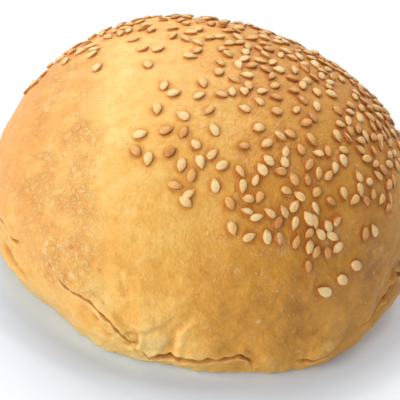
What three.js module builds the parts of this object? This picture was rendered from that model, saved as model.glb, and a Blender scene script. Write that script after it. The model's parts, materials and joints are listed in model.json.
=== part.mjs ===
// A round sesame-seeded bread roll, in millimetres, +Z up.
//
// The roll is one baked piece: a lopsided dome with an almost upright side wall, a shallow crease where
// the dough folds under itself, and a flat underside. Sesame seeds lie on the crown, each one its own
// solid just clear of the crust. The origin is in the middle of the underside. A bearing is an angle
// about +Z, in degrees from +X, so the front of the roll (-Y) is at a bearing of -90. A slant is the
// angle down the dome, 0 at the top of the crown and 90 at the belly, the widest ring.
import * as THREE from "three";
import { mergeVertices } from "three/addons/utils/BufferGeometryUtils.js";

// ---- Driving dimensions ----
const ROLL_WIDTH = 96;
const ROLL_HEIGHT = 51;
const BELLY_HEIGHT = 11;
const FOOT_RADIUS = 44.4; // edge of the flat underside, before its swells and dents
const DOME_FULLNESS = 2.2; // exponent of the dome's outline: 2 is an ellipse, more is squarer
const DOME_LEAN = new THREE.Vector2(-0.054, -0.023); // sideways shift per millimetre of height
const CREASE_DEPTH = 0.7;
const CREASE_HEIGHT = 5.2; // where the crease's ring lies before it is drawn up or down to its path
const SEED_LENGTH = 3.1;
const SEED_WIDTH = 1.9;
const SEED_THICKNESS = 0.9;
const SEED_CLEARANCE = 0.2; // gap between a seed and the crust under it
const CROWN_SEEDS = 23; // seeds laid by rule over the crown and the back

const RING_SEGMENTS = 80;
const DOME_STEPS = 16;
const SEED_SIDES = 8;
const BELLY_RADIUS = ROLL_WIDTH / 2;
const DOME_RISE = ROLL_HEIGHT - BELLY_HEIGHT;

// Swells and dents of the side wall: bearing, height, spread in degrees, spread up and down in
// millimetres, and how far the wall stands out (a dent is negative).
const WALL_SWELLS = [
  [-129, 1, 13, 9, -1.6],
  [-111, 0, 8, 8, 2.0],
  [-98, 0, 10, 6, 0.6],
  [-38, 0, 9, 7, 0.7],
  [-25, 5, 9, 10, -0.9],
  [20, 4, 12, 9, -0.8],
  [25, 38, 24, 12, 0.6],
  [70, 2, 14, 9, 0.9],
  [95, 26, 26, 14, -0.7],
  [105, 0, 13, 8, -1.1],
  [140, 3, 15, 10, 0.7],
  [134, 46, 14, 6, 1.2],
  [154, 38, 14, 9, -0.8],
  [178, 27, 24, 13, -0.9],
];

// Path of the crease: bearing and height where it turns. It runs low across the front and climbs the
// wall on both sides.
const CREASE_PATH = [
  [-180, 14.5],
  [-150, 17],
  [-124, 16],
  [-114, 12.8],
  [-102, 7.8],
  [-91, 4.8],
  [-82, 3.8],
  [-60, 3.4],
  [-46, 4.6],
  [-36, 8.5],
  [-22, 19],
  [-8, 19.5],
  [30, 14],
  [75, 10.5],
  [120, 14.5],
  [181, 14.5],
];

// Seeds that lie singly down the front: bearing, slant, and the heading of the pointed end, which is 0
// downhill and 90 towards a larger bearing.
const FRONT_SEEDS = [
  [-124, 20, -160],
  [-115, 21, 145],
  [-116, 28, 35],
  [-100, 19, 145],
  [-115, 37, 135],
  [-107, 33, 135],
  [-100, 32, 170],
  [-113, 42, 65],
  [-108, 43, 15],
  [-102, 39, 145],
  [-97, 42, 5],
  [-93, 44, 175],
  [-97, 48, 90],
  [-93, 52, 60],
  [-91, 40, 25],
  [-87, 37, 145],
  [-83, 40, 125],
  [-85, 46, -170],
  [-76, 46, -5],
  [-80, 51, 35],
  [-79, 58, 25],
  [-74, 60, 115],
  [-69, 60, -175],
  [-59, 52, 130],
  [-60, 57, -25],
  [-55, 56, -155],
  [-65, 56, 140],
  [-60, 62, 150],
  [-56, 64, 165],
  [-52, 61, -145],
  [-57, 70, 5],
  [-41, 73, 55],
  [-46, 76, 50],
  [-52, 78, -120],
  [-36, 65, -30],
  [-32, 65, -170],
];

const degrees = THREE.MathUtils.degToRad;
const GOLDEN_ANGLE = degrees(137.508);

// A soft hump of height 1 at 0, which dies away over about twice the spread on either side.
function hump(distance, spread) {
  return Math.exp(-((distance / spread) ** 2));
}
// Difference of two bearings in degrees, from -180 to 180.
function turnBetween(from, to) {
  return THREE.MathUtils.euclideanModulo(from - to + 180, 360) - 180;
}

// ---- The shape of the crust ----
// Share by which the side of the roll stands in or out at a bearing: broad waves round the dome.
function domeSwell(bearing) {
  const oval = 0.025 * Math.sin(2 * bearing);
  const threeCornered = 0.015 * Math.cos(3 * bearing);
  return oval + threeCornered;
}
function wallSwell(bearing, height) {
  const compass = THREE.MathUtils.radToDeg(bearing);
  let out = 0;
  for (const [at, level, spread, reach, bulge] of WALL_SWELLS) {
    out += bulge * hump(turnBetween(compass, at), spread) * hump(height - level, reach);
  }
  return out;
}
// Radius of the roll's smooth outline at a height.
function outlineRadius(height) {
  if (height < BELLY_HEIGHT) {
    const climb = Math.sin((degrees(90) * height) / BELLY_HEIGHT);
    return FOOT_RADIUS + (BELLY_RADIUS - FOOT_RADIUS) * climb;
  }
  const rise = Math.min((height - BELLY_HEIGHT) / DOME_RISE, 1);
  return BELLY_RADIUS * (1 - rise ** DOME_FULLNESS) ** (1 / DOME_FULLNESS);
}
// Height of the crease at a bearing, straight from one turning point to the next.
function creaseLevel(bearing) {
  const compass = THREE.MathUtils.radToDeg(bearing);
  const next = CREASE_PATH.findIndex(([at]) => at > compass);
  const [from, fromHeight] = CREASE_PATH[next - 1];
  const [to, toHeight] = CREASE_PATH[next];
  return THREE.MathUtils.mapLinear(compass, from, to, fromHeight, toHeight);
}
// A point of the crust with the roll's own bumps and its lean.
function crustPoint(radius, bearing, height) {
  const upWall = THREE.MathUtils.smoothstep(height, 0, BELLY_HEIGHT);
  const swelled = radius * (1 + upWall * domeSwell(bearing));
  const out = (wallSwell(bearing, height) * radius) / BELLY_RADIUS;
  return new THREE.Vector3(
    (swelled + out) * Math.cos(bearing) + DOME_LEAN.x * height,
    (swelled + out) * Math.sin(bearing) + DOME_LEAN.y * height,
    height,
  );
}
function domePoint(bearing, slant) {
  const radius = BELLY_RADIUS * Math.sin(slant) ** (2 / DOME_FULLNESS);
  const height = BELLY_HEIGHT + DOME_RISE * Math.cos(slant) ** (2 / DOME_FULLNESS);
  return crustPoint(radius, bearing, height);
}

// ---- The bread ----
// Rings of the roll, from the middle of the underside, round the foot and up to the top.
function rollOutline() {
  const underside = [0, FOOT_RADIUS * 0.5, FOOT_RADIUS - 0.9].map((radius) => new THREE.Vector2(radius, 0));
  const lowHeights = [0.8, 2.4, CREASE_HEIGHT - 1.3, CREASE_HEIGHT, CREASE_HEIGHT + 1.3, 8.6];
  const lowWall = lowHeights.map((height) => new THREE.Vector2(outlineRadius(height), height));
  const dome = [];
  for (let i = 0; i < DOME_STEPS; i++) {
    const slant = degrees(90) * (1 - i / DOME_STEPS);
    const height = BELLY_HEIGHT + DOME_RISE * Math.max(Math.cos(slant), 0) ** (2 / DOME_FULLNESS);
    dome.push(new THREE.Vector2(BELLY_RADIUS * Math.sin(slant) ** (2 / DOME_FULLNESS), height));
  }
  return [...underside, ...lowWall, ...dome, new THREE.Vector2(0, ROLL_HEIGHT)];
}
// The wall's rings are drawn up or down so that one of them follows the crease.
function liftedHeight(height, bearing) {
  const lift = creaseLevel(bearing) - CREASE_HEIGHT;
  const rejoin = 34; // rings from this height up stay level
  if (height < CREASE_HEIGHT) return height + (lift * height) / CREASE_HEIGHT;
  return height + lift * Math.max(0, (rejoin - height) / (rejoin - CREASE_HEIGHT));
}
function breadGeometry() {
  const turned = new THREE.LatheGeometry(rollOutline(), RING_SEGMENTS).rotateX(degrees(90));
  turned.deleteAttribute("normal");
  turned.deleteAttribute("uv");
  const bread = mergeVertices(turned);
  const places = bread.getAttribute("position");
  for (let i = 0; i < places.count; i++) {
    const bearing = Math.atan2(places.getY(i), places.getX(i));
    const radius = Math.hypot(places.getX(i), places.getY(i));
    const level = places.getZ(i);
    const height = liftedHeight(level, bearing);
    const groove = CREASE_DEPTH * hump(level - CREASE_HEIGHT, 0.8);
    const wall = radius + outlineRadius(height) - outlineRadius(level) - groove;
    const place = crustPoint(level > 0 ? wall : radius, bearing, height);
    places.setXYZ(i, place.x, place.y, place.z);
  }
  bread.computeVertexNormals();
  return bread;
}

// ---- The seeds ----
// A sesame seed lying flat: a teardrop with its pointed end towards +X.
function seedGeometry() {
  const outline = [
    [0, -0.5],
    [0.36, -0.36],
    [0.5, -0.08],
    [0.3, 0.28],
    [0, 0.5],
  ].map(([across, along]) => new THREE.Vector2(across * SEED_WIDTH, along * SEED_LENGTH));
  const turned = new THREE.LatheGeometry(outline, SEED_SIDES).rotateZ(degrees(-90));
  turned.deleteAttribute("normal");
  turned.deleteAttribute("uv");
  const seed = mergeVertices(turned);
  seed.scale(1, 1, SEED_THICKNESS / SEED_WIDTH);
  seed.computeVertexNormals();
  return seed;
}
// Lays a seed on the crust, flat side down, with its pointed end at a heading.
function laySeed(seed, bearing, slant, heading) {
  const step = degrees(2);
  const middle = domePoint(bearing, slant);
  const downhill = domePoint(bearing, slant + step).sub(middle).normalize();
  const across = domePoint(bearing + step, slant).sub(middle).normalize();
  const outward = downhill.clone().cross(across).normalize();
  const tip = downhill.applyAxisAngle(outward, heading);
  const side = outward.clone().cross(tip);
  seed.quaternion.setFromRotationMatrix(new THREE.Matrix4().makeBasis(tip, side, outward));
  seed.position.copy(middle).addScaledVector(outward, SEED_THICKNESS / 2 + SEED_CLEARANCE);
}
// How far down the dome the seeds reach: least at the front left, where the crust is bare.
function sprinkleEdge(bearing) {
  const compass = THREE.MathUtils.radToDeg(bearing);
  const towardsRight = 6 * Math.cos(degrees(compass + 40));
  return degrees(58 + towardsRight - 28 * hump(turnBetween(compass, -140), 38));
}
// Places by rule: a sunflower spiral over the crown, left out where the front seeds lie.
function crownPlaces() {
  const places = [];
  for (let i = 0; places.length < CROWN_SEEDS; i++) {
    const bearing = GOLDEN_ANGLE * i;
    const slant = sprinkleEdge(bearing) * Math.sqrt((i + 0.5) / 32);
    const fromFront = turnBetween(THREE.MathUtils.radToDeg(bearing), -82);
    const amongFrontSeeds = Math.abs(fromFront) < 55 && slant > degrees(16);
    if (!amongFrontSeeds) places.push([bearing, slant, GOLDEN_ANGLE * i * 3]);
  }
  return places;
}

const CRUST = new THREE.MeshStandardMaterial({ color: 0xdfa553, roughness: 0.5, metalness: 0 });
const SESAME = new THREE.MeshStandardMaterial({ color: 0xecd09c, roughness: 0.6, metalness: 0 });

const sesameRoll = new THREE.Group();
const bread = new THREE.Mesh(breadGeometry(), CRUST);
bread.name = "bread";
sesameRoll.add(bread);

const frontPlaces = FRONT_SEEDS.map((place) => place.map(degrees));
[...frontPlaces, ...crownPlaces()].forEach(([bearing, slant, heading], i) => {
  const seed = new THREE.Mesh(seedGeometry(), SESAME);
  seed.name = `sesame_seed_${String(i + 1).padStart(2, "0")}`;
  laySeed(seed, bearing, slant, heading);
  sesameRoll.add(seed);
});

export default sesameRoll;
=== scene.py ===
import json
import math

import bpy
import numpy as np
from mathutils import Matrix, Vector, kdtree, noise
from mathutils.bvhtree import BVHTree

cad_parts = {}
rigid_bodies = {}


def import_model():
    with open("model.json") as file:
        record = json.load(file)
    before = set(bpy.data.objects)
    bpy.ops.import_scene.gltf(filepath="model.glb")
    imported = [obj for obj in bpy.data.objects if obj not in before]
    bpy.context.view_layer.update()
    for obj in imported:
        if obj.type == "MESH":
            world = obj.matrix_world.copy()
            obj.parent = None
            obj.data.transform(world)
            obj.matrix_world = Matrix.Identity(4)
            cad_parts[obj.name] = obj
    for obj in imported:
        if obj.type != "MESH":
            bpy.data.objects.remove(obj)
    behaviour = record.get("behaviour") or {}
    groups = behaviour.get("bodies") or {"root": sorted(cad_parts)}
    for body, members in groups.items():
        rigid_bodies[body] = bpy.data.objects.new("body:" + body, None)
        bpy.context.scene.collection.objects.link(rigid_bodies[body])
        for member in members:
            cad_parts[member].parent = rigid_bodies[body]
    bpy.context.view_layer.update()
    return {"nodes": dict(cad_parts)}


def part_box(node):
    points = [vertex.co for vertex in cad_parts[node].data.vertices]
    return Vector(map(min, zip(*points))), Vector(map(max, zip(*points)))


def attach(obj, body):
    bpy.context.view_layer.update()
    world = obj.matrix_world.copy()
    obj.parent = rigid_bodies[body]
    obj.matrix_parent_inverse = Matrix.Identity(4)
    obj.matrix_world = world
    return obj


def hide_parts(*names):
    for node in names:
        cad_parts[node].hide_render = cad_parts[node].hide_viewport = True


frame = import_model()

MM = 0.001

# ---- The roll's own sizes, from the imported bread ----
BREAD_LOW, BREAD_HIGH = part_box("bread")
ROLL_HEIGHT = (BREAD_HIGH.z - BREAD_LOW.z) / MM
HEART_HEIGHT = 0.216 * ROLL_HEIGHT  # level of the widest ring, from which rises are measured
WALL_RADIUS = 47  # about, of the side wall
MM_PER_DEGREE = np.radians(1) * WALL_RADIUS
FOOT_RADIUS = 46  # of the ring along which the fold's ragged grain runs
SEED_NODES = sorted(name for name in frame["nodes"] if name.startswith("sesame_seed"))

# ---- The fold above the foot ----
# Where the dough is tucked under: bearing and height of the fold's turning points.
FOLD_PATH = [
    (-180, 12.5), (-165, 15), (-150, 16.6), (-143, 16.3), (-139, 15), (-130, 16.5), (-124.2, 16.7),
    (-121.9, 14.9), (-119.3, 13.9), (-114.8, 14), (-112, 13.5), (-108.6, 11.8), (-106, 10.7),
    (-103.2, 8.7), (-99, 4.6), (-96, 3.2), (-91, 4.6), (-83.5, 4.4), (-79, 5.4), (-73, 6.2), (-69, 3.4),
    (-60, 3.2), (-46, 4.2), (-38, 6.6), (-30, 11), (-22, 15.5), (-12, 15), (0, 12), (20, 8.5), (45, 7),
    (75, 6.2), (105, 7.6), (130, 9), (155, 10.5), (180, 12.5),
]
# How far the fold gapes at a bearing: 0 is healed over, 1 is an open tear.
FOLD_GAPE = [
    (-180, 0.2), (-160, 0.1), (-150, 0.3), (-147.5, 0.9), (-140, 0.9), (-136.5, 0), (-126, 0), (-123, 0.7),
    (-116, 0.9), (-108, 0.8), (-103, 0.9), (-101, 0.1), (-98, 0.2), (-95, 0.8), (-92, 1.1), (-78, 1),
    (-72, 0.7), (-69, 0.05), (-57, 0), (-53, 0.6), (-49, 0.6), (-45, 0), (-36, 0.1), (-31, 0.8), (-18, 0.9),
    (-6, 0.2), (12, 0), (25, 0.8), (40, 0.6), (50, 0), (70, 0.1), (80, 0.9), (98, 0.8), (110, 0), (128, 0),
    (138, 0.8), (153, 0.5), (163, 0), (180, 0.2),
]
# How wide it then is, in millimetres.
FOLD_WIDTH = [
    (-180, 0.4), (-148, 0.45), (-138, 0.35), (-123, 0.3), (-112, 0.35), (-104, 0.5), (-97, 0.5),
    (-92, 1.2), (-78, 1.1), (-71, 0.5), (-50, 0.35), (-30, 0.5), (-10, 0.6), (30, 0.5), (90, 0.6),
    (150, 0.45), (180, 0.4),
]
# Pillows and valleys of the side wall: bearing, height, spread in degrees, reach up and down, and how
# far it stands out.
WALL_PILLOWS = [
    (-127, 11, 5, 4, -0.35),
    (-98, 11.5, 5, 4.6, 0.85),
    (-91.5, 7.5, 1.8, 4, -1.0),
    (-84, 9, 5, 4, 0.75),
    (-76, 15, 6, 4, -0.4),
    (-71, 6, 2.2, 4, -0.8),
    (-66, 4.5, 3.2, 3, 0.7),
    (-58, 9, 3.5, 6, -0.3),
    (-49, 6, 4, 3.6, 0.65),
    (-41, 8, 3, 5, -0.25),
    (-34, 9, 3, 6, 0.6),
    (-108, 17, 3.4, 3, -0.5),
    (-117, 20, 4, 4, 0.35),
    (15, 10, 7, 5, 0.8),
    (26, 9, 2, 4, -0.7),
    (50, 8, 5, 4, -0.6),
    (80, 7, 8, 4, 0.9),
    (92, 8, 2, 4, -0.8),
    (118, 9, 5, 5, -0.7),
    (140, 9, 6, 4, 0.7),
    (160, 10, 7, 5, 0.6),
]
# Smaller tears and creases: their paths by bearing and height, width, depth, and how far the skin
# stands out on their left hand, or on their right hand where it is negative.
TEARS = [
    ([(-143, 11.6), (-138.5, 10.6), (-133.9, 8.2)], 1.2, 1.0, 0.5),
    ([(-113.5, 10.5), (-111.5, 9.9), (-109.8, 9.6), (-109.3, 8.3)], 0.4, 1.0, 0.6),
    ([(-109.2, 8.1), (-105.3, 7.3)], 0.6, 0.5, 0.3),
    ([(-103.4, 8.8), (-99.5, 9), (-100, 6.6), (-101.5, 5.2), (-103.2, 5.4)], 0.4, 0.7, 0.5),
    ([(-107, 21.8), (-106.2, 20.8)], 0.25, 0.3, 0.2),
    ([(-105.9, 20), (-105.5, 18.9), (-104.9, 17.5), (-103.4, 19.6)], 0.35, 0.5, 0.4),
    ([(-103.3, 23.8), (-102, 25.7), (-99.7, 26.2)], 0.3, 0.2, 0.2),
    ([(-91.3, 4.8), (-91.4, 11), (-90.3, 13.8), (-88.3, 16.5)], 0.8, 0.5, -0.3),
    ([(-103, 10.1), (-98.2, 10.2), (-93.8, 12.4), (-91.3, 16)], 0.8, 0.35, 0.35),
    ([(-72, 5.7), (-70.4, 4.2), (-68.9, 2.4)], 0.35, 0.5, -0.4),
    ([(-29, 4), (-27.5, 7), (-25.4, 10.4), (-22, 13), (-19.5, 17)], 1.7, 1.2, 0.9),
    ([(-50.4, 7.6), (-48.5, 8.5), (-46.5, 7.1)], 0.3, 0.3, -0.2),
    ([(-50.2, 6), (-48.5, 5.1), (-46.6, 5.9), (-46.2, 6.8)], 0.3, 0.3, 0.2),
    ([(-49.3, 7.3), (-47.9, 6.3)], 0.25, 0.25, 0.1),
    ([(-121, 10), (-118, 8.4), (-116.5, 6.2)], 0.35, 0.3, 0.2),
    ([(-57, 7.5), (-55, 5.8), (-54.5, 3.8)], 0.5, 0.35, -0.2),
    ([(17, 10.4), (22, 7.5), (23.5, 4)], 0.5, 0.7, 0.5),
    ([(48, 8), (55, 9.4), (61, 9)], 0.4, 0.5, 0.4),
    ([(87, 12), (91, 8.5), (92.5, 3.2)], 0.7, 0.7, -0.5),
    ([(112, 9), (118, 10.6), (124, 10)], 0.35, 0.5, 0.4),
    ([(134, 8.6), (141, 6.4), (143, 3.5)], 0.5, 0.6, 0.4),
    ([(160, 11), (168, 8.6), (178, 8.9)], 0.4, 0.5, 0.4),
]
# Pinholes: bearing, height and radius.
PINHOLES = [(-111.3, 20.8, 0.32), (-120, 22.8, 0.4), (-98, 2.3, 0.3), (33, 18, 0.35), (104, 21, 0.4)]
# Blown bubbles in the skin, pale on top: bearing, height, radius and how far each stands out.
BUBBLES = [
    (-117.5, 17.6, 1.15, 0.4),
    (-122.5, 22, 0.7, 0.2),
    (-116, 24, 0.8, 0.25),
    (-121, 30, 0.7, 0.2),
    (-84, 14, 0.5, 0.2),
    (-71, 15.5, 0.6, 0.2),
    (-77, 12.2, 0.35, 0.2),
    (-96.5, 4, 0.6, 0.3),
    (-60, 12, 0.4, 0.2),
    (-87, 22.5, 0.4, 0.2),
]
# Patches paler or browner than the crust round them, most baked so and a few painted shade: bearing,
# height, spread in degrees, reach up and down, and how much browner.
TONE_PATCHES = [
    # The first three are painted shade along the first tear's groove.
    (-141.3, 11.2, 2.2, 1.4, 0.5),
    (-137.8, 9.9, 2.2, 1.4, 0.58),
    (-134.6, 8.3, 2, 1.3, 0.5),
    (-110, 16.5, 4, 4, -0.32),
    (-97, 18, 4, 3, -0.2),
    (-94, 9, 6, 4, -0.24),
    (-88, 24.5, 4, 7, 0.1),
    (-72, 11, 6, 4, -0.22),
    (-50, 14, 7, 5, -0.1),
    (-62, 18, 4, 4, 0.07),
    # Painted shade on the far right of the wall, turned away from the lights.
    (-36, 20, 7, 8, 0.16),
]

BROWNEST_EVEN = 0.76  # how brown the crust gets without its patches
BROWNEST = 0.95  # and with them

# ---- Fineness of the crust ----
RING_STEPS = 640
FOOT_ROWS = 14
FOOT_EDGE_HEIGHT = 0.25  # of the lowest ring on the smooth outline, before it is set down on the floor
FOLD_ROWS = [0.17 * step for step in range(-10, 15)]  # distances above the fold
WALL_ROWS = 68
WALL_TOP_RISE = 50  # degrees
CROWN_ROWS = 44
CROWN_TOP_RISE = 89.2  # of the last ring, which one point closes
# Rises from which a ring needs only half as many points.
HALVING_RISES = [50, 71, 81, 86]
UNDERSIDE_RINGS = [0.985, 0.96, 0.92, 0.87, 0.8, 0.72, 0.64, 0.56, 0.48, 0.4, 0.32, 0.25, 0.18, 0.12, 0.06]
UNDERSIDE_HALVINGS = [0.87, 0.48, 0.25, 0.12]
UNDERSIDE_MIDDLE_HEIGHT = 0.1


def hump(distance, spread):
    """1 at no distance, dying away over about twice the spread."""
    return np.exp(-((distance / spread) ** 2))


def ramp(value, low, high):
    """0 below low, 1 above high, eased between them."""
    share = np.clip((value - low) / (high - low), 0, 1)
    return share * share * (3 - 2 * share)


def way_at(bearing, rise):
    """Unit vectors that point at some bearings and rises."""
    angle, tilt = np.radians(bearing), np.radians(rise)
    return np.stack([np.cos(tilt) * np.cos(angle), np.cos(tilt) * np.sin(angle), np.sin(tilt)], axis=-1)


def turn_between(bearing, other):
    """Difference of two bearings in degrees, from -180 to 180."""
    return (bearing - other + 180) % 360 - 180


def along_path(path, bearing):
    """The value of a list of (bearing, value) turning points at some bearings."""
    return np.interp(bearing, [point[0] for point in path], [point[1] for point in path])


def grain(places, size, depth=1, offset=0):
    """Soft random noise, about -1 to 1, with lumps of a size in millimetres; each offset gives its own."""
    shift = Vector((offset * 17.3, offset * 5.7, offset * 31.1))
    values = [noise.fractal(Vector(place) / size + shift, 1.0, 2.0, depth) for place in places]
    return np.array(values)


# ---- The smooth outline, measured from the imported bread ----
BEARING_STEP = 1.5
RISE_STEP = 0.75
MEASURED_BEARINGS = np.arange(-180, 180, BEARING_STEP)
MEASURED_RISES = np.arange(-21, 90.01, RISE_STEP)


def blurred(grid, spread, axis):
    """The grid smoothed along one axis; bearings wrap round, and rises are mirrored at their ends."""
    reach = int(3 * spread) + 1
    weights = np.exp(-0.5 * (np.arange(-reach, reach + 1) / spread) ** 2)
    weights /= weights.sum()
    padding = [(0, 0), (0, 0)]
    padding[axis] = (reach, reach)
    padded = np.pad(grid, padding, mode="wrap" if axis == 0 else "reflect")
    return np.apply_along_axis(lambda line: np.convolve(line, weights, mode="valid"), axis, padded)


def measured_outline():
    """Distance of the crust from the roll's heart at each measured bearing and rise, its flats smoothed."""
    packed = frame["nodes"]["bread"].data
    packed.calc_loop_triangles()
    corners = [vertex.co.copy() for vertex in packed.vertices]
    tree = BVHTree.FromPolygons(corners, [tuple(face.vertices) for face in packed.loop_triangles])
    heart = Vector((0, 0, HEART_HEIGHT * MM))
    grid = np.empty((len(MEASURED_BEARINGS), len(MEASURED_RISES)))
    for i, bearing in enumerate(MEASURED_BEARINGS):
        for j, way in enumerate(way_at(bearing, MEASURED_RISES)):
            grid[i, j] = (tree.ray_cast(heart, Vector(way))[3] or 0) / MM
    grid = blurred(grid, 1.6, 0)
    near_foot = blurred(grid, 1.2, 1)
    crown = blurred(grid, 3.4, 1)
    share = ramp(MEASURED_RISES, 12, 35)[None, :]
    return near_foot * (1 - share) + crown * share


OUTLINE = measured_outline()


def outline_distance(bearing, rise):
    """The smooth crust's distance from the heart at any bearings and rises."""
    across = ((bearing + 180) % 360) / BEARING_STEP
    up = np.clip((rise - MEASURED_RISES[0]) / RISE_STEP, 0, len(MEASURED_RISES) - 1.001)
    i = across.astype(int) % len(MEASURED_BEARINGS)
    j = up.astype(int)
    part_across = across - np.floor(across)
    part_up = up - j
    after = (i + 1) % len(MEASURED_BEARINGS)
    low = OUTLINE[i, j] * (1 - part_across) + OUTLINE[after, j] * part_across
    high = OUTLINE[i, j + 1] * (1 - part_across) + OUTLINE[after, j + 1] * part_across
    return low * (1 - part_up) + high * part_up


def rise_of_height(bearing, height):
    """The rise at which the smooth crust has a height."""
    rise = np.zeros_like(bearing)
    for _ in range(6):
        reach = outline_distance(bearing, rise)
        rise = np.degrees(np.arcsin(np.clip((height - HEART_HEIGHT) / reach, -0.99, 0.99)))
    return rise


def crust_rows():
    """The rings of the crust from foot to crown, each as arrays of bearing and rise."""
    rows = []
    bearing = np.arange(RING_STEPS) * (360 / RING_STEPS) - 180
    rim = rise_of_height(bearing, np.full_like(bearing, FOOT_EDGE_HEIGHT))
    fold = rise_of_height(bearing, along_path(FOLD_PATH, bearing) + fold_wander(bearing))
    degree = np.degrees(1 / WALL_RADIUS)  # of rise, for each millimetre of wall
    below = fold + FOLD_ROWS[0] * degree
    above = fold + FOLD_ROWS[-1] * degree
    for row in range(FOOT_ROWS):
        rows.append((bearing, rim + (below - rim) * row / FOOT_ROWS))
    for distance in FOLD_ROWS:
        rows.append((bearing, fold + distance * degree))
    for row in range(1, WALL_ROWS):
        rows.append((bearing, above + (WALL_TOP_RISE - above) * row / WALL_ROWS))
    for row in range(CROWN_ROWS):
        rise = WALL_TOP_RISE + (CROWN_TOP_RISE - WALL_TOP_RISE) * row / CROWN_ROWS
        halvings = sum(rise >= start for start in HALVING_RISES)
        ring = np.arange(RING_STEPS >> halvings) * (360 / (RING_STEPS >> halvings)) - 180
        rows.append((ring, np.full_like(ring, rise)))
    return rows


def ring_grain(bearing, size, offset):
    """Random noise that runs once round the foot, with waves of a size in millimetres."""
    angle = np.radians(bearing)
    places = np.stack([FOOT_RADIUS * np.cos(angle), FOOT_RADIUS * np.sin(angle), 0 * angle], axis=1)
    return grain(places, size, 2, offset)


def fold_wander(bearing):
    """How far the fold strays up and down from its path, raggedly."""
    return (0.4 * ring_grain(bearing, 7, 1) + 0.3 * ring_grain(bearing, 2.2, 2)
            + 0.22 * ring_grain(bearing, 1.0, 10))


def distance_to_path(path, bearing, height):
    """Distance of points on the wall from a path, positive on its left hand, and the share along it."""
    corners = [np.array([turn_between(at, path[0][0]) * MM_PER_DEGREE, level]) for at, level in path]
    lengths = [np.linalg.norm(there - here) for here, there in zip(corners, corners[1:])]
    x, y = turn_between(bearing, path[0][0]) * MM_PER_DEGREE, height
    nearest, aside, along = np.full(len(x), 1e9), np.zeros(len(x)), np.zeros(len(x))
    run = 0
    for here, there, length in zip(corners, corners[1:], lengths):
        way = (there - here) / length
        reach = np.clip((x - here[0]) * way[0] + (y - here[1]) * way[1], 0, length)
        off_x, off_y = x - here[0] - reach * way[0], y - here[1] - reach * way[1]
        distance = np.hypot(off_x, off_y)
        closer = distance < nearest
        nearest = np.where(closer, distance, nearest)
        aside = np.where(closer, way[0] * off_y - way[1] * off_x, aside)
        along = np.where(closer, (run + reach) / sum(lengths), along)
        run += length
    return nearest, aside, along


def distance_on_wall(bearing, height, at, level):
    """Distance of points on the wall from one at a bearing and level."""
    return np.hypot(turn_between(bearing, at) * MM_PER_DEGREE, height - level)


def mark_fold(marks, bearing, rise):
    """The fold: a torn groove, the crust rolled out over it and a thin lip of dough below."""
    fold_rise = rise_of_height(bearing, along_path(FOLD_PATH, bearing))
    distance = (rise - fold_rise) * math.radians(WALL_RADIUS) - fold_wander(bearing)
    gape = along_path(FOLD_GAPE, bearing) * (0.9 + 0.35 * ring_grain(bearing, 4, 3))
    gape = np.clip(gape, 0, 1.2)
    width = along_path(FOLD_WIDTH, bearing) * (1 + 0.5 * ring_grain(bearing, 2, 11))
    marks["out"] -= 2.0 * gape * np.exp(-np.abs(distance / width) ** 3)
    marks["out"] += 0.75 * gape * hump(distance - 1.5, 1.0)
    marks["out"] += 0.4 * gape * hump(distance + width + 0.45, 0.4)
    marks["drop"] = 0.75 * gape * hump(distance - 0.75, 0.5)
    # Painted shade down in the groove.
    marks["cavity"] = np.clip(1.4 * gape, 0, 1) * np.exp(-np.abs((distance + 0.05) / (width + 0.12)) ** 3)
    marks["lip"] = 0.8 * gape * hump(distance + width + 0.55, 0.42)
    marks["lip"] += 0.35 * gape * hump(distance - width - 0.5, 0.35)


def mark_tears(marks, bearing, height):
    """The smaller tears, each a groove with its skin lifted along one side."""
    for path, width, depth, lift in TEARS:
        away, aside, along = distance_to_path(path, bearing, height)
        taper = np.clip(5 * along * (1 - along) + 0.25, 0, 1)
        torn = np.exp(-((away / width) ** 2)) * taper
        lifted = (aside > 0 if lift > 0 else aside < 0) * taper
        marks["out"] -= depth * torn
        marks["out"] += abs(lift) * hump(away - width - 0.75, 0.75) * lifted
        # Painted shade down in the tear.
        marks["cavity"] += 0.9 * depth * torn
        marks["lip"] += 0.55 * hump(away - width - 0.3, 0.35) * lifted


def mark_spots(marks, bearing, height):
    """The pinholes, painted dark inside as shade, and the blown bubbles, pale on top with a painted shade
    round their foot.
    """
    for at, level, radius in PINHOLES:
        away = distance_on_wall(bearing, height, at, level) / radius
        marks["out"] -= 0.5 * np.exp(-(away**4))
        marks["cavity"] += 0.8 * np.exp(-(away**4))
    for at, level, radius, stands in BUBBLES:
        away = distance_on_wall(bearing, height, at, level) / radius
        marks["out"] += stands * np.exp(-(away**4))
        marks["lip"] += 0.8 * np.exp(-((away / 0.85) ** 4))
        marks["cavity"] += 0.3 * hump(away - 1.3, 0.25)


def mark_foot(marks, bearing, height):
    """The foot's edge: thin, pale and ragged where the dough met the tray."""
    ragged = ring_grain(bearing, 2.2, 7)
    marks["out"] += (0.2 + 0.4 * ragged) * (1 - ramp(height, 0.3, 2.2))
    pale = 0.9 * (1 - ramp(height, 0.2, 1.4 + 1.2 * np.abs(ragged)))
    marks["lip"] = np.maximum(marks["lip"], pale)


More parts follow.
